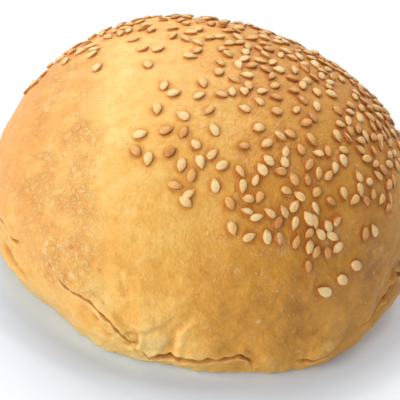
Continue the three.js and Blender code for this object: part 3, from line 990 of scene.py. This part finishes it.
def sprinkle_tree():
    """Geometry nodes that scatter seeds over a crust, each turned, tipped and toasted by chance."""
    tree = bpy.data.node_groups.new("sesame sprinkling", "GeometryNodeTree")
    kinds = {"Crust": "Geometry", "Seeds": "Collection", "Spacing": "Float", "Thickest": "Float",
             "Sunk": "Float", "Chance": "Int", "Material": "Material"}
    for name, kind in kinds.items():
        tree.interface.new_socket(name, in_out="INPUT", socket_type="NodeSocket" + kind)
    tree.interface.new_socket("Sprinkling", in_out="OUTPUT", socket_type="NodeSocketGeometry")
    w = Wiring(tree)
    takes = w.node("NodeGroupInput").outputs

    def chance(low, high, number, kind="FLOAT"):
        """A value between two others, drawn for each seed; each number gives other draws."""
        made = w.node("FunctionNodeRandomValue", data_type=kind)
        least, most = [socket for socket in made.inputs if socket.enabled][:2]
        w.feed(least, low)
        w.feed(most, high)
        w.feed(made.inputs["Seed"], w.math("ADD", takes["Chance"], number))
        return next(socket for socket in made.outputs if socket.enabled)

    def turned(rotation, **angles):
        """A rotation followed by turns about the seed's own axes."""
        own = w.output("FunctionNodeEulerToRotation", {0: w.output("ShaderNodeCombineXYZ", angles)})
        return w.output("FunctionNodeRotateRotation", {0: rotation, 1: own}, rotation_space="LOCAL")

    def stored(geometry, name, kind, value):
        """Every seed with a value kept on it."""
        made = w.node("GeometryNodeStoreNamedAttribute", {"Geometry": geometry, "Name": name},
                      data_type=kind, domain="INSTANCE")
        w.feed(next(socket for socket in made.inputs if socket.name == "Value" and socket.enabled), value)
        return made.outputs[0]

    density = w.output("GeometryNodeInputNamedAttribute", {"Name": "sprinkling"}, data_type="FLOAT")
    feeds = {"Mesh": takes["Crust"], "Distance Min": takes["Spacing"], "Density Max": takes["Thickest"],
             "Density Factor": density, "Seed": takes["Chance"]}
    spread = w.node("GeometryNodeDistributePointsOnFaces", feeds, distribute_method="POISSON").outputs
    height = w.times_plus(chance(0.0, 1.0, 5), SCATTERED_LIFT * MM, takes["Sunk"])
    lift = w.output("ShaderNodeVectorMath", {0: spread["Normal"], 3: height}, operation="SCALE")
    laid = w.output("GeometryNodeSetPosition", {"Geometry": spread["Points"], "Offset": lift})
    # Most seeds lie flat, a few stand on edge.
    tipped = w.times_plus(w.math("POWER", chance(0.0, 1.0, 1), 7.0), 1.1, 0.1)
    headed = turned(spread["Rotation"], Z=chance(0.0, 2 * math.pi, 4))
    tilted = turned(headed, X=w.times(tipped, chance(-1.0, 1.0, 2)), Y=chance(-0.16, 0.16, 3))
    feeds = {"Collection": takes["Seeds"], "Separate Children": True, "Reset Children": True}
    shapes = w.output("GeometryNodeCollectionInfo", feeds)
    scatter = w.output("GeometryNodeInstanceOnPoints", {
        "Points": laid, "Instance": shapes, "Pick Instance": True, "Rotation": tilted,
        "Instance Index": chance(0, len(SEED_SHAPES) - 1, 6, "INT"),
        "Scale": chance((0.84, 0.84, 0.84), (1.06, 1.06, 1.06), 8, "FLOAT_VECTOR"),
    })
    # Seeds on the left front of the crown stay golden, a painted highlight where light washes them out;
    # the rest are toasted more unevenly.
    middle = w.output("GeometryNodeInputPosition")
    spot = w.node("ShaderNodeSeparateXYZ", {0: middle}).outputs
    to_right = w.output("ShaderNodeMapRange", {0: spot["X"], 1: -0.005, 2: 0.008})
    to_back = w.output("ShaderNodeMapRange", {0: spot["Y"], 1: 0.006, 2: 0.014})
    uneven = w.times_plus(w.math("MAXIMUM", to_right, to_back), 0.3, 0.22)
    toasting = w.times_plus(w.math("POWER", chance(0.0, 1.0, 9), 1.25), uneven, 0.13)
    seeds = stored(stored(scatter, "toasting", "FLOAT", toasting), "seed_middle", "FLOAT_VECTOR", middle)
    whole = w.output("GeometryNodeRealizeInstances", {"Geometry": seeds})
    dressed = w.output("GeometryNodeSetMaterial", {"Geometry": whole, "Material": takes["Material"]})
    w.feed(w.node("NodeGroupOutput").inputs["Sprinkling"], dressed)
    return tree


def scattered_seeds(crust, shapes):
    """The rest of the sprinkling, as one piece, and the middles of its seeds."""
    jar = bpy.data.collections.new("seed shapes")
    bpy.context.scene.collection.children.link(jar)
    for shape in shapes:
        jar.objects.link(bpy.data.objects.new(shape.name, shape))
    bed = finished("seed_bed", crust.data)
    tree = sprinkle_tree()
    spread = bed.modifiers.new("sprinkling", "NODES")
    spread.node_group = tree
    names = {item.name: item.identifier for item in tree.interface.items_tree if item.in_out == "INPUT"}
    settings = {
        "Seeds": jar,
        "Spacing": SCATTERED_SPACING * MM,
        "Thickest": THICKEST_SPRINKLING,
        "Sunk": (SEED_THICKNESS / 2 - SCATTERED_SUNK) * MM,
        "Chance": SPRINKLING_CHANCE,
        "Material": SESAME,
    }
    for name, value in settings.items():
        spread[names[name]] = value
    graph = bpy.context.evaluated_depsgraph_get()
    mesh = bpy.data.meshes.new_from_object(bed.evaluated_get(graph))
    mesh.name = "seed_sprinkling"
    bpy.data.objects.remove(bed)
    for piece in list(jar.objects):
        bpy.data.objects.remove(piece)
    bpy.data.collections.remove(jar)
    middles = np.empty(len(mesh.vertices) * 3, dtype=np.float32)
    mesh.attributes["seed_middle"].data.foreach_get("vector", middles)
    middles = np.unique(middles.reshape(-1, 3).round(6), axis=0)
    mesh.attributes.remove(mesh.attributes["seed_middle"])
    piece = finished("seed_sprinkling", mesh)
    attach(piece, "root")
    return [Vector(middle) for middle in middles]


def mark_halos(crust, places, middles):
    """The crust is browner round each seed, and darker in a thin ring against it, partly from browning and
    partly as painted contact shade.
    """
    tree = kdtree.KDTree(len(places))
    for number, place in enumerate(places):
        tree.insert(Vector(place) * MM, number)
    tree.balance()
    halo = np.zeros(len(places))
    for middle in middles:
        for _, number, distance in tree.find_range(middle, HALO_REACH * MM):
            gap = max(distance / MM - SEED_RADIUS, 0)
            # The narrow term darkens the crust hard against the seed, the wide one browns it.
            halo[number] += 1.5 * math.exp(-((gap / 0.4) ** 2)) + 0.1 * math.exp(-((gap / 2.0) ** 2))
    add_tone(crust.data, "seed_halo", 1 - np.exp(-halo))


# ---- Pieces ----
BAKED_DOUGH = baked_dough_group()
WRINKLED_SKIN = wrinkled_skin_group()
SESAME = seed_material()
PACKED_CENTRES = [np.array(packed_seed_frame(name)[0]) / MM for name in SEED_NODES]

crust, crust_places = bread_crust()
seed_shapes = [seed_mesh(*shape) for shape in SEED_SHAPES]
crust_faces = [tuple(face.vertices) for face in crust.data.polygons]
surface = BVHTree.FromPolygons([Vector(place) * MM for place in crust_places], crust_faces)
seed_middles = single_seeds(surface, seed_shapes)
seed_middles += scattered_seeds(crust, seed_shapes)
mark_halos(crust, crust_places, seed_middles)
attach(crust, "root")
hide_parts("bread")


# ---- Floor, light and camera ----
FLOOR_REACH = 3  # metres each way
SHADED_REACH = 0.12  # metres from the middle of the roll, within which the floor is toned
# The lights: name, bearing, rise above the floor and strength.
LIGHTS = [("high light", 105, 57, 0.80), ("low light", -135, 17, 0.86)]
LIGHT_SOFTNESS = 60  # degrees
CAMERA_TARGET = Vector((-0.0014, 0, 0.0136))
CAMERA_DISTANCE = 0.377
CAMERA_RISE = 31.5  # degrees above the floor
CAMERA_LEAN = 11.7  # degrees, tipped anticlockwise
LENS = 152.55
LENS_FRAME = 36


def paper_material():
    """White paper, painted darker and cooler close to the roll as painted shade that keeps the shadow grey
    against light thrown off the crust, and glowing faintly there as painted light.
    """
    material, w, shader = new_material("white paper")
    place = w.node("ShaderNodeTexCoord").outputs["Object"]
    across = w.node("ShaderNodeSeparateXYZ", {0: place}).outputs["X"]
    away = w.node("ShaderNodeVectorMath", {0: place}, operation="LENGTH").outputs["Value"]
    away = w.math("DIVIDE", away, SHADED_REACH)
    # Painted shade: darker and cooler close to the roll, most of all on its left, against the warm light its
    # crust throws.
    near = w.ramp(away, (0.38, 1.0), (0.6, 0.45), (1, 0))
    right = w.ramp(w.times_plus(across, 10, 0.5), (0.1, 0), (0.9, 1.0))
    paper = w.blend(right, (0.76, 0.87, 0.97), (0.90, 0.94, 0.97))
    # Painted shadow: a little darker in a band round the roll, so that its shadow dies away slowly on both
    # sides.
    aside = w.times(w.math("ABSOLUTE", w.math("SUBTRACT", across, 0.004)), 20)
    band = w.ramp(away, (0.385, 0), (0.42, 0.15), (0.45, 0.14), (0.49, 0), smooth=True)
    band = w.times(band, w.ramp(aside, (0.2, 0), (0.46, 1.0)))
    paper = w.blend(band, paper, (0.0, 0.0, 0.0))
    # Painted light: the paper glows faintly close under the roll, most of all on its right-hand side.
    far_right = w.ramp(w.times(across, 20), (0.66, 0), (0.82, 1.0))
    close = w.times(w.ramp(away, (0.38, 1.0), (0.415, 0)), far_right)
    painted_glow = w.blend(right, (0.0, 0.045, 0.12), (0.02, 0.045, 0.08))
    painted_glow = w.blend(close, painted_glow, (0.09, 0.12, 0.16))
    w.feed(shader["Base Color"], w.blend(near, (0.96, 0.96, 0.96), paper))
    w.feed(shader["Emission Color"], w.blend(near, (0.0, 0.0, 0.0), painted_glow))
    shader["Emission Strength"].default_value = 1
    shader["Roughness"].default_value = 1
    shader["Specular IOR Level"].default_value = 0
    return material


def white_surroundings():
    """White to look at and in reflections, but lighting the roll only a little."""
    world = bpy.data.worlds.new("white studio")
    world.use_nodes = True
    w = Wiring(world.node_tree)
    ray = w.node("ShaderNodeLightPath").outputs
    strength = w.math("MAXIMUM", w.times_plus(ray["Is Glossy Ray"], 0.6, 0.2), ray["Is Camera Ray"])
    background = world.node_tree.nodes["Background"].inputs
    background["Color"].default_value = (1, 1, 1, 1)
    w.feed(background["Strength"], strength)
    bpy.context.scene.world = world


def studio():
    """A white floor under two broad soft lights: one high behind, one low in front on the left."""
    far = FLOOR_REACH
    mesh = bpy.data.meshes.new("floor")
    mesh.from_pydata([(-far, -far, 0), (far, -far, 0), (far, far, 0), (-far, far, 0)], [], [(0, 1, 2, 3)])
    mesh.materials.append(paper_material())
    floor = finished("floor", mesh)
    white_surroundings()
    for name, bearing, rise, strength in LIGHTS:
        light = bpy.data.lights.new(name, "SUN")
        light.energy = math.pi * strength
        light.angle = math.radians(LIGHT_SOFTNESS)
        lamp = bpy.data.objects.new(name, light)
        bpy.context.collection.objects.link(lamp)
        lamp.rotation_euler = Vector(-way_at(bearing, rise)).to_track_quat("-Z", "Y").to_euler()


def camera():
    """Looks down at the front of the roll, tipped to one side."""
    rise, lean = math.radians(CAMERA_RISE), math.radians(CAMERA_LEAN)
    back = Vector((0, -math.cos(rise), math.sin(rise)))
    level, upright = Vector((1, 0, 0)), Vector((0, math.sin(rise), math.cos(rise)))
    right = level * math.cos(lean) + upright * math.sin(lean)
    up = upright * math.cos(lean) - level * math.sin(lean)
    lens = bpy.data.cameras.new("camera")
    lens.lens = LENS
    lens.sensor_width = LENS_FRAME
    lens.clip_start = 0.01
    body = bpy.data.objects.new("camera", lens)
    bpy.context.collection.objects.link(body)
    turn = Matrix((right, up, back)).transposed().to_4x4()
    body.matrix_world = Matrix.Translation(CAMERA_TARGET + back * CAMERA_DISTANCE) @ turn
    bpy.context.scene.camera = body


studio()
camera()
bpy.context.scene.view_settings.view_transform = "Standard"
